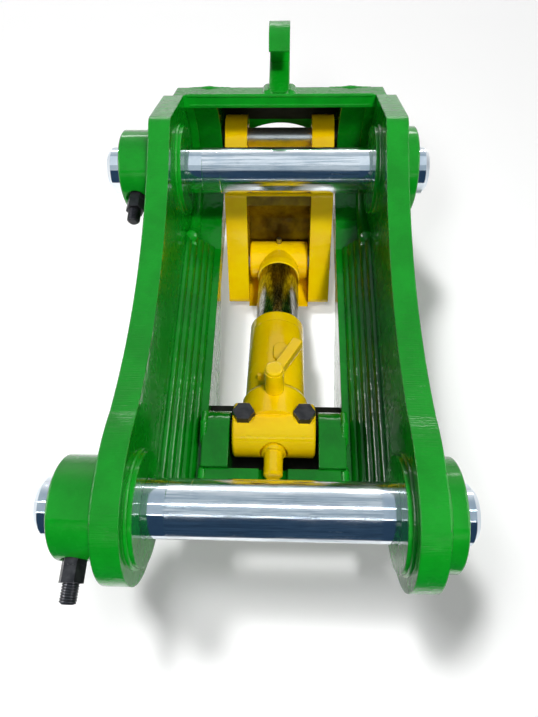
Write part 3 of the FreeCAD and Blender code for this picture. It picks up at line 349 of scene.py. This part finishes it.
def paint(name, colour, shade, cut_marks=False, sag=0.35 * MM, gloss_coat=0.8,
          shaded_front=False, shaded_below=False):
    """Thick glossy paint over welded steel, a little uneven, with chips on its edges.

    cut_marks adds the drag lines of a cut edge, shaded_front painted shade in dark brown on what faces
    the front, and shaded_below painted shade on an underside that is also dull and without coat.
    """
    material, tree, shader = blank(name)
    spots = places(tree)
    normal, edge = soft_edges(tree, 1.8 * MM)
    clouds = spread(tree, noise(tree, spots, 22, 4, 0.6), 0.38, 0.62)
    chips = spread(tree, noise(tree, spots, 260, 4, 0.6), 0.63, 0.68)
    chipped = times(tree, chips, edge)
    colour_out = blend_colours(tree, chipped, blend_colours(tree, clouds, colour, shade), PRIMER)
    # Painted shade: darker brown where the surface faces the front
    if shaded_front:
        patchy = spread(tree, clouds, 0.0, 1.0, 0.75, 1.0)
        front_shade_mask = times(tree, spread(tree, facing(tree, 1), -0.5, -0.8), patchy)
        colour_out = blend_colours(tree, front_shade_mask, colour_out, FRONT_SHADE)
    uneven = spread(tree, noise(tree, spots, 55, 3, 0.6), 0.3, 0.7, 0.16, 0.34)
    rough = plus(tree, uneven, times(tree, chipped, 0.35))
    shader.inputs["Coat Weight"].default_value = gloss_coat
    # Painted shade: what faces down is darkened; it is also made rough and loses its coat
    if shaded_below:
        below = spread(tree, facing(tree, 2), -0.10, -0.35)
        colour_out = blend_colours(tree, below, colour_out, UNDERSIDE_SHADE)
        rough = plus(tree, rough, times(tree, below, 0.6))
        tree.links.new(spread(tree, below, 0.0, 1.0, gloss_coat, 0.0), shader.inputs["Coat Weight"])
    tree.links.new(colour_out, shader.inputs["Base Color"])
    tree.links.new(rough, shader.inputs["Roughness"])
    shader.inputs["Specular IOR Level"].default_value = 0.06 * gloss_coat
    shader.inputs["Coat Roughness"].default_value = 0.04
    if cut_marks:
        # The drag lines run across the thickness of the plate
        lines = noise(tree, places(tree, (40, 900, 900)), 1.0, 2, 0.5)
        on_edge = spread(tree, unsigned(tree, facing(tree, 0)), 0.6, 0.3)
        normal = raised(tree, times(tree, lines, on_edge), 0.5 * MM, 0.5, normal)
    # Sagging paint, thick drops of it along the edges, and a fine skin
    normal = raised(tree, noise(tree, spots, 75, 3, 0.55), sag, 1.0, normal)
    drops = times(tree, noise(tree, spots, 260, 3, 0.6), edge)
    normal = raised(tree, drops, 0.9 * MM, 1.0, normal)
    normal = raised(tree, noise(tree, spots, 900, 2, 0.5), 0.04 * MM, 0.6, normal)
    tree.links.new(normal, shader.inputs["Normal"])
    tree.links.new(normal, shader.inputs["Coat Normal"])
    return material


def turned_metal(name, colour, shade, low, high):
    """Turned or drawn metal, with fine rings round X and cloudy blotches. low and high are its roughness."""
    material, tree, shader = blank(name)
    spots = places(tree)
    normal = soft_edges(tree, 0.6 * MM)[0]
    clouds = noise(tree, spots, 30, 5, 0.65)
    tone = spread(tree, clouds, 0.38, 0.64)
    tree.links.new(blend_colours(tree, tone, colour, shade), shader.inputs["Base Color"])
    shader.inputs["Metallic"].default_value = 1.0
    rings = noise(tree, places(tree, (2600, 30, 30)), 1.0, 3, 0.7)
    rough = plus(tree, spread(tree, clouds, 0.3, 0.7, low, high), times(tree, rings, 0.08))
    tree.links.new(rough, shader.inputs["Roughness"])
    tree.links.new(raised(tree, rings, 0.02 * MM, 1.0, normal), shader.inputs["Normal"])
    return material


def machine_pin():
    """Zinc-plated pin, scuffed between the ears where the machine's eyes turn."""
    material, tree, shader = blank("machine_pin")
    spots = places(tree)
    normal = soft_edges(tree, 0.8 * MM)[0]
    across = part_of(tree, spots, 0)
    clouds = noise(tree, spots, 24, 5, 0.6)
    base = blend_colours(tree, spread(tree, clouds, 0.36, 0.64), ZINC, ZINC_SHADE)
    worn = times(tree, spread(tree, across, SCUFFED_FROM - 1 * MM, SCUFFED_FROM + 1 * MM),
                 spread(tree, across, SCUFFED_TO + 1 * MM, SCUFFED_TO - 1 * MM))
    streaks = noise(tree, places(tree, (14, 420, 420)), 1.0, 5, 0.7)
    patches = noise(tree, places(tree, (30, 45, 45)), 1.0, 4, 0.6)
    scuffed = times(tree, worn, spread(tree, patches, 0.38, 0.6, 0.35, 1.0))
    pale = blend_colours(tree, spread(tree, streaks, 0.44, 0.56), SCUFFED, RUBBED)
    tree.links.new(blend_colours(tree, scuffed, base, pale), shader.inputs["Base Color"])
    shader.inputs["Metallic"].default_value = 1.0
    smooth = spread(tree, clouds, 0.35, 0.65, 0.05, 0.10)
    rubbed = times(tree, scuffed, spread(tree, streaks, 0.35, 0.65, 0.04, 0.22))
    tree.links.new(plus(tree, smooth, rubbed), shader.inputs["Roughness"])
    turning = noise(tree, places(tree, (2600, 12, 12)), 1.0, 2, 0.6)
    normal = raised(tree, turning, 0.006 * MM, 1.0, normal)
    lines = [spread(tree, unsigned(tree, plus(tree, across, line)), 0.0, 0.5 * MM) for line in TURNED_LINES]
    normal = raised(tree, calculate(tree, "MINIMUM", *lines), 0.08 * MM, 1.0, normal)
    tree.links.new(normal, shader.inputs["Normal"])
    return material


def chrome_rod():
    """Hard chrome, nearly a mirror, with fine lines along the rod, whose dark streaks are painted
    reflection.
    """
    material, tree, shader = blank("chrome_rod")
    lines = noise(tree, places(tree, (700, 6, 700)), 1.0, 3, 0.7)
    tree.links.new(spread(tree, lines, 0.3, 0.7, 0.14, 0.24), shader.inputs["Roughness"])
    tone = blend_colours(tree, spread(tree, lines, 0.42, 0.62), CHROME_PAINTED_DARK, CHROME)
    tree.links.new(tone, shader.inputs["Base Color"])
    shader.inputs["Metallic"].default_value = 1.0
    tree.links.new(raised(tree, lines, 0.004 * MM), shader.inputs["Normal"])
    return material


def black_oxide():
    """Blackened high-tensile steel with a trace of oil."""
    material, tree, shader = blank("black_oxide")
    spots = places(tree)
    normal, edge = soft_edges(tree, 0.5 * MM)
    clouds = noise(tree, spots, 160, 4, 0.6)
    tone = blend_colours(tree, spread(tree, clouds, 0.35, 0.7), BLACK_OXIDE, OXIDE_SHADE)
    bright = times(tree, edge, spread(tree, noise(tree, spots, 400, 3), 0.5, 0.62))
    tree.links.new(blend_colours(tree, bright, tone, WORN_OXIDE), shader.inputs["Base Color"])
    shader.inputs["Metallic"].default_value = 0.6
    tree.links.new(spread(tree, clouds, 0.3, 0.7, 0.28, 0.46), shader.inputs["Roughness"])
    normal = raised(tree, noise(tree, spots, 700, 3), 0.04 * MM, 0.5, normal)
    tree.links.new(normal, shader.inputs["Normal"])
    return material


def moulded_rubber():
    """Dull black rubber of a seal."""
    material, tree, shader = blank("moulded_rubber")
    spots = places(tree)
    clouds = noise(tree, spots, 300, 3)
    tree.links.new(blend_colours(tree, clouds, RUBBER, RUBBER_SHADE), shader.inputs["Base Color"])
    tree.links.new(spread(tree, clouds, 0.3, 0.7, 0.5, 0.65), shader.inputs["Roughness"])
    normal = raised(tree, noise(tree, spots, 1500, 2), 0.02 * MM, 0.6)
    tree.links.new(normal, shader.inputs["Normal"])
    return material


green_paint = paint("green_paint", GREEN, GREEN_SHADE)
cut_green_paint = paint("cut_green_paint", GREEN, GREEN_SHADE, cut_marks=True)
weld_green_paint = paint("weld_green_paint", GREEN, GREEN_SHADE, sag=0.8 * MM)
shaded_inner_green_paint = paint("shaded_inner_green_paint", SHADED_INNER_GREEN, INNER_SHADE, sag=0.8 * MM)
cover_green_paint = paint("cover_green_paint", GREEN, GREEN_SHADE, gloss_coat=0.45, shaded_below=True)
# Painted shade: darker and dull, without coat
dull_shaded_green_paint = paint("dull_shaded_green_paint", GREEN_SHADE, DARK_SHADE_GREEN, gloss_coat=0.0)
yellow_paint = paint("yellow_paint", YELLOW, YELLOW_SHADE)
front_shaded_yellow_paint = paint("front_shaded_yellow_paint", YELLOW, YELLOW_SHADE, shaded_front=True)
painted_light_steel = turned_metal("painted_light_steel", PAINTED_LIGHT_STEEL, PAINTED_LIGHT_STEEL_SHADE, 0.24, 0.36)
thread_steel = turned_metal("thread_steel", THREAD, THREAD_SHADE, 0.2, 0.34)
greased_steel = turned_metal("greased_steel", GREASE, GREASE_SHADE, 0.35, 0.6)
black_steel = black_oxide()
# The finish of each material slot, and of the nodes that differ from their slot
LOOKS = {
    "frame_paint": green_paint,
    "jaw_paint": yellow_paint,
    "plated_pin": machine_pin(),
    "rod_chrome": chrome_rod(),
    "black_bolt": black_steel,
    "plain_steel": turned_metal("plain_steel", BARE_STEEL, BARE_SHADE, 0.22, 0.36),
    "bush_brass": turned_metal("bush_brass", BRASS, BRASS_SHADE, 0.25, 0.4),
    "seal_rubber": moulded_rubber(),
}
OTHER_LOOKS = {
    "ear_plate_left": cut_green_paint,
    "ear_plate_right": cut_green_paint,
    # The parts deep inside the frame carry a darker green of painted shade
    "hook_plate_left": shaded_inner_green_paint,
    "hook_plate_right": shaded_inner_green_paint,
    "trunnion_lug_left": shaded_inner_green_paint,
    "trunnion_lug_right": shaded_inner_green_paint,
    "front_cross_plate": shaded_inner_green_paint,
    # The jaw's web carries painted shade on what faces the front
    "jaw_web": front_shaded_yellow_paint,
    "lifting_hook": cut_green_paint,
    "seam_weld_left": shaded_inner_green_paint,
    "seam_weld_right": shaded_inner_green_paint,
    "rear_weld_left": weld_green_paint,
    "rear_weld_right": weld_green_paint,
    # The tie plate is dull and darkened with painted shade
    "rear_tie_plate": dull_shaded_green_paint,
    # The cover's underside carries painted shade
    "rear_cover_plate": cover_green_paint,
    "jaw_thrust_washers": greased_steel,
    # The jaw's pivot pin is lightened with painted light
    "jaw_pivot_pin": painted_light_steel,
    "trunnion_pin": greased_steel,
    "trunnion_bushes": greased_steel,
}


def dress_nodes():
    """Gives every CAD node its finish."""
    for row in frame["record"]["subparts"]:
        name = row["node"]
        piece = frame["nodes"][name]
        look = OTHER_LOOKS.get(name, LOOKS[row["material_slot"]])
        piece.data.materials.clear()
        piece.data.materials.append(look)


# Mesh helpers

def add_piece(name, points, faces, look):
    """A smooth mesh piece that rides on the frame."""
    mesh = bpy.data.meshes.new(name)
    mesh.from_pydata([tuple(p) for p in points], [], faces)
    mesh.validate()
    mesh.shade_smooth()
    mesh.materials.append(look)
    piece = bpy.data.objects.new(name, mesh)
    bpy.context.scene.collection.objects.link(piece)
    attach(piece, "frame")
    return piece


def line_of(corners):
    """A path through corners given in millimetres."""
    return [Vector(corner) * MM for corner in corners]


def arc_path(x, axis, radius, turns):
    """Points round an axis along X, one for each turn in radians."""
    return [Vector((x, axis.y + radius * math.cos(t), axis.z + radius * math.sin(t))) for t in turns]


def along(path, step, closed):
    """Points at equal steps along a path, and the distance of each from its start."""
    ends = list(path) + ([path[0]] if closed else [])
    lengths = [(b - a).length for a, b in zip(ends, ends[1:])]
    total = sum(lengths)
    count = max(3, round(total / step))
    spots = []
    leg = 0
    passed = 0.0
    for index in range(count + (0 if closed else 1)):
        wanted = total * index / count
        while leg < len(lengths) - 1 and passed + lengths[leg] < wanted:
            passed += lengths[leg]
            leg += 1
        share = (wanted - passed) / max(lengths[leg], 1e-9)
        spots.append((ends[leg].lerp(ends[leg + 1], min(1.0, share)), wanted))
    return spots


def tube_faces(rings, sides, closed=False):
    """The side faces of a tube whose points come ring by ring."""
    faces = []
    for ring in range(rings if closed else rings - 1):
        first = ring * sides
        second = (ring + 1) % rings * sides
        for turn in range(sides):
            following = (turn + 1) % sides
            faces.append((first + turn, first + following, second + following, second + turn))
    return faces


def weld_bead(name, path, radius, outward, closed=False, ripple=RIPPLE, seed=1, look=weld_green_paint):
    """A weld bead with crescent ripples. outward is the way it faces, or a function of the place."""
    draws = random.Random(seed)
    waves = [(draws.uniform(40, 160), draws.uniform(0, math.tau), draws.uniform(0.3, 1.0)) for _ in range(5)]
    spots = along(path, ripple / RIPPLE_STEPS, closed)
    count = len(spots)
    points = []
    for index, (spot, gone) in enumerate(spots):
        before = spots[index - 1][0] if index or closed else spot
        after = spots[(index + 1) % count][0] if index < count - 1 or closed else spot
        way = (after - before).normalized()
        out = outward(spot) if callable(outward) else outward
        out = (out - way * out.dot(way)).normalized()
        side = way.cross(out)
        sway = sum(size * math.sin(gone * rate + start) for rate, start, size in waves) / len(waves)
        end = 1.0 if closed else min(1.0, 0.5 + min(index, count - 1 - index) / 8)
        middle = spot + side * (sway * radius * BEAD_STRAY)
        for turn in range(BEAD_SIDES):
            angle = math.tau * turn / BEAD_SIDES
            phase = (gone / ripple - RIPPLE_LAG * (1 - math.cos(angle))) % 1.0
            scale = 1 + RIPPLE_HEIGHT * math.sin(math.pi * phase) ** 0.7 + BEAD_SWELL * sway
            reach = radius * scale * end
            points.append(middle + (out * math.cos(angle) + side * math.sin(angle)) * reach)
    faces = tube_faces(count, BEAD_SIDES, closed)
    if not closed:
        faces.append(tuple(range(BEAD_SIDES))[::-1])
        faces.append(tuple((count - 1) * BEAD_SIDES + turn for turn in range(BEAD_SIDES)))
    return add_piece(name, points, faces, look)


def mirrored_beads(beads):
    """Beads on the left and on the right, whose names end in 0 and 2."""
    for side in (-1, 1):
        for name, corners, radius, (out_x, out_y, out_z), ripple, seed in beads:
            path = line_of([(side * x, y, z) for x, y, z in corners])
            outward = Vector((side * out_x, out_y, out_z))
            weld_bead("%s_%d" % (name, side + 1), path, radius, outward, ripple=ripple, seed=seed + side)


# Pieces

def weld_rings():
    """The fillet welds of the bosses, rings and collars on the ears."""
    turns = [math.tau * step / RING_STEPS for step in range(RING_STEPS)]
    for count, (piece, ear, side, radius) in enumerate(RING_BEADS):
        low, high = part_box(piece)
        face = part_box(ear)[1].x if side > 0 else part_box(ear)[0].x
        centre = (low + high) / 2
        path = arc_path(face, centre, (high.y - low.y) / 2, turns)

        def outward(spot, centre=centre, side=side):
            away = Vector((0, spot.y - centre.y, spot.z - centre.z)).normalized()
            return away + Vector((side, 0, 0))

        # The welds round the bosses take the dull darker green: painted shade in the groove by the ear
        look = dull_shaded_green_paint if "boss" in piece else weld_green_paint
        weld_bead("weld_" + piece, path, radius, outward, closed=True, seed=count + 3, look=look)


def gap_welds():
    """The beads that close the gap between each ear and its hook plate, round under the link pin."""
    pin_low, pin_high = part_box("link_pin")
    axis = (pin_low + pin_high) / 2
    turns = [math.radians(GAP_START + GAP_SWEEP * step / GAP_STEPS) for step in range(GAP_STEPS + 1)]

    def outward(spot):
        return Vector((0, axis.y - spot.y, axis.z - spot.z)).normalized()

    for side, name in ((-1, "left"), (1, "right")):
        ear_low, ear_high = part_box("ear_plate_" + name)
        hook_low, hook_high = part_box("hook_plate_" + name)
        inside = ear_high.x if side < 0 else ear_low.x
        outside = hook_low.x if side < 0 else hook_high.x
        middle = (inside + outside) / 2
        for count, (reach, radius) in enumerate(GAP_BEADS):
            path = arc_path(middle, axis, reach, turns)
            weld_bead("weld_gap_%s_%d" % (name, count), path, radius, outward, seed=20 + count + side)


def cover_welds():
    """The beads of the rear cover: on its front edge, its lumpy rear edge and beside the lifting hook."""
    for name, corners, radius, out, seed in COVER_EDGES:
        weld_bead(name, line_of(corners), radius, Vector(out), ripple=COVER_RIPPLE, seed=seed)
    mirrored_beads(COVER_BEADS)


def dark_shade_plate():
    """A dark greased plate under the trunnion behind the cross plate, a sheet of painted shade there."""
    ends = list(zip(SHADE_PLATE_LOW, SHADE_PLATE_HIGH))
    points = [(x, y, z) for x in ends[0] for y in ends[1] for z in ends[2]]
    faces = [(0, 1, 3, 2), (4, 6, 7, 5), (0, 4, 5, 1), (2, 3, 7, 6), (0, 2, 6, 4), (1, 5, 7, 3)]
    plate = add_piece("dark_shade_plate", points, faces, greased_steel)
    plate.data.shade_flat()


def thread_ridge(name, x, z, tip, root):
    """The ridge of a thread that winds round a bolt's axis, from its end towards its root."""
    start = tip + THREAD_START
    steps = THREAD_STEPS * THREAD_TURNS
    along_bolt = Vector((0, 1, 0))
    points = []
    for step in range(steps + 1):
        angle = math.tau * THREAD_TURNS * step / steps
        out = Vector((math.cos(angle), 0, math.sin(angle)))
        spot = Vector((x, start + (root - start) * step / steps, z)) + out * THREAD_MIDDLE
        for side in range(RIDGE_SIDES):
            turn = math.tau * side / RIDGE_SIDES
            points.append(spot + (out * math.cos(turn) + along_bolt * math.sin(turn)) * RIDGE)
    add_piece(name, points, tube_faces(steps + 1, RIDGE_SIDES), thread_steel)


def thread_core(name, x, z, tip, root):
    """The bolt inside its thread, with a chamfered end."""
    rings = [(tip + CORE_TIP[0], CORE_TIP[1]), (tip + CORE_CHAMFER[0], CORE_CHAMFER[1]),
             (root, CORE_CHAMFER[1])]
    turns = [math.tau * turn / CORE_SIDES for turn in range(CORE_SIDES)]
    points = [(x + r * math.cos(t), y, z + r * math.sin(t)) for y, r in rings for t in turns]
    faces = tube_faces(len(rings), CORE_SIDES)
    faces.append(tuple(range(CORE_SIDES))[::-1])
    add_piece(name, points, faces, black_steel)


def bolt_threads():
    """The threaded free ends of the retention bolts, which run along Y through the left bosses."""
    low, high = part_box("retention_bolts")
    nut_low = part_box("lock_nuts")[0]
    x = (low.x + high.x) / 2
    for count, pin in enumerate(("dipper_pin", "link_pin")):
        first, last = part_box(pin)
        shift = (first.y + last.y) / 2
        z = (first.z + last.z) / 2
        tip = low.y + shift
        root = nut_low.y + shift
        thread_ridge("threads_%d" % count, x, z, tip, root)
        thread_core("thread_core_%d" % count, x, z, tip, root)


# Camera, room and lamps

def camera():
    """The photograph's camera."""
    forward = Vector((math.sin(CAMERA_YAW) * math.cos(CAMERA_PITCH),
                      math.cos(CAMERA_YAW) * math.cos(CAMERA_PITCH), -math.sin(CAMERA_PITCH)))
    level = Vector((math.cos(CAMERA_YAW), -math.sin(CAMERA_YAW), 0))
    upright = level.cross(forward)
    right = level * math.cos(CAMERA_ROLL) + upright * math.sin(CAMERA_ROLL)
    up = upright * math.cos(CAMERA_ROLL) - level * math.sin(CAMERA_ROLL)
    data = bpy.data.cameras.new("camera")
    data.sensor_width = SENSOR
    data.lens = FOCAL_PIXELS * SENSOR / PHOTO_HEIGHT
    data.clip_start = 0.01
    lens = bpy.data.objects.new("camera", data)
    bpy.context.scene.collection.objects.link(lens)
    turn = Matrix((right, up, -forward)).transposed().to_4x4()
    lens.matrix_world = Matrix.Translation(CAMERA_AT) @ turn
    bpy.context.scene.camera = lens


def seen_plainly(tree):
    """1 for rays from the camera, from gloss and through glass."""
    path = put(tree, "LightPath")
    both = calculate(tree, "MAXIMUM", path.outputs["Is Camera Ray"], path.outputs["Is Glossy Ray"])
    return calculate(tree, "MAXIMUM", both, path.outputs["Is Transmission Ray"])


def world():
    """A room that is seen as white with a dimmer ceiling, and that lights the object more faintly."""
    room = bpy.data.worlds.new("room")
    bpy.context.scene.world = room
    room.use_nodes = True
    tree = room.node_tree
    tree.nodes.clear()
    height = part_of(tree, put(tree, "TexCoord").outputs["Generated"], 2)
    tone = blend_colours(tree, spread(tree, height, *WALL_TOP), WHITE, CEILING)
    soft = spread(tree, height, *FALL_OFF, ROOM_SIDES, ROOM_ABOVE)
    dim = put(tree, "Background", {"Color": WHITE, "Strength": soft})
    pale = put(tree, "Background", {"Color": tone, "Strength": 1.0})
    mixed = put(tree, "MixShader", {0: seen_plainly(tree), 1: dim.outputs[0], 2: pale.outputs[0]})
    out = put(tree, "OutputWorld")
    tree.links.new(mixed.outputs[0], out.inputs["Surface"])


def floor():
    """A pale floor under the soles."""
    mesh = bpy.data.meshes.new("floor")
    builder = bmesh.new()
    bmesh.ops.create_grid(builder, x_segments=1, y_segments=1, size=FLOOR_REACH)
    builder.to_mesh(mesh)
    builder.free()
    ground = bpy.data.objects.new("floor", mesh)
    ground.location = (0, 0, cad_box[0].z - FLOOR_DROP)
    bpy.context.scene.collection.objects.link(ground)
    material, tree = material_tree("pale_floor")
    soft = put(tree, "BsdfDiffuse", {"Color": FLOOR_BOUNCE})
    white = put(tree, "BsdfDiffuse", {"Color": FLOOR_SEEN})
    glow = put(tree, "Emission", {"Color": WHITE, "Strength": FLOOR_GLOW})
    bright = put(tree, "AddShader", {0: white.outputs[0], 1: glow.outputs[0]})
    mixed = put(tree, "MixShader", {0: seen_plainly(tree), 1: soft.outputs[0], 2: bright.outputs[0]})
    out = put(tree, "OutputMaterial")
    tree.links.new(mixed.outputs[0], out.inputs["Surface"])
    mesh.materials.append(material)
    return ground


def dark_card():
    """A dark card in front, on the floor and up behind the camera, for the dark side of the metal."""
    mesh = bpy.data.meshes.new("dark_card")
    low = cad_box[0].z + CARD_LIFT
    corners = [(-CARD_HALF, CARD_NEAR, low), (CARD_HALF, CARD_NEAR, low), (CARD_HALF, CARD_FAR, low),
               (-CARD_HALF, CARD_FAR, low), (CARD_HALF, *CARD_TOP), (-CARD_HALF, *CARD_TOP)]
    mesh.from_pydata(corners, [], [(0, 1, 2, 3), (3, 2, 4, 5)])
    material, tree = material_tree("dark_card")
    glow = put(tree, "Emission", {"Color": CARD, "Strength": 1.0})
    out = put(tree, "OutputMaterial")
    tree.links.new(glow.outputs[0], out.inputs["Surface"])
    mesh.materials.append(material)
    card = bpy.data.objects.new("dark_card", mesh)
    bpy.context.scene.collection.objects.link(card)
    card.visible_camera = False
    card.visible_diffuse = False
    card.visible_shadow = False


def lamp(name, at, target, width, length, power):
    """A rectangular lamp that faces a target, with its length along X."""
    data = bpy.data.lights.new(name, "AREA")
    data.shape = "RECTANGLE"
    data.size = length
    data.size_y = width
    data.energy = power
    light = bpy.data.objects.new(name, data)
    bpy.context.scene.collection.objects.link(light)
    toward = (Vector(target) - Vector(at)).normalized()
    light.matrix_world = Matrix.Translation(at) @ toward.to_track_quat("-Z", "Y").to_matrix().to_4x4()
    return light


def light_only(light, things, state):
    """Has a lamp light only those things, or everything but those things."""
    group = bpy.data.collections.new("lit_by_" + light.name)
    for count, thing in enumerate(things):
        group.objects.link(thing)
        group.collection_objects[count].light_linking.link_state = state
    light.light_linking.receiver_collection = group


def lights(ground):
    """Two soft lamps for the object, two for the floor, and others for the gloss alone."""
    for name, spot, size, power in OBJECT_LAMPS:
        soft = lamp(name, spot, MIDDLE, size, size, power)
        soft.visible_glossy = False
        light_only(soft, [ground], "EXCLUDE")
    for name, spot, size, power in FLOOR_LAMPS:
        shadow = lamp(name, spot, FLOOR_MIDDLE, size, size, power)
        shadow.visible_glossy = False
        light_only(shadow, [ground], "INCLUDE")
    pins = [frame["nodes"][name] for name in ("dipper_pin", "link_pin")]
    near, far = sorted(pins, key=lambda pin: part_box(pin.name)[0].y)
    lit = {"pin_rear": pins, "pin_far": [far]}
    for name, spot, width, length, power in PAINT_GLOSS:
        box = lamp("gloss_" + name, spot, MIDDLE, width, length, power)
        box.visible_diffuse = False
        light_only(box, pins, "EXCLUDE")
    for name, spot, width, length, power in PIN_GLOSS:
        tube = lamp("gloss_" + name, spot, MIDDLE, width, length, power)
        tube.visible_diffuse = False
        light_only(tube, lit.get(name, [near]), "INCLUDE")


dress_nodes()
weld_rings()
gap_welds()
cover_welds()
mirrored_beads(TRUNNION_BEADS)
dark_shade_plate()
bolt_threads()
camera()
world()
lights(floor())
dark_card()
bpy.context.scene.view_settings.view_transform = "Standard"
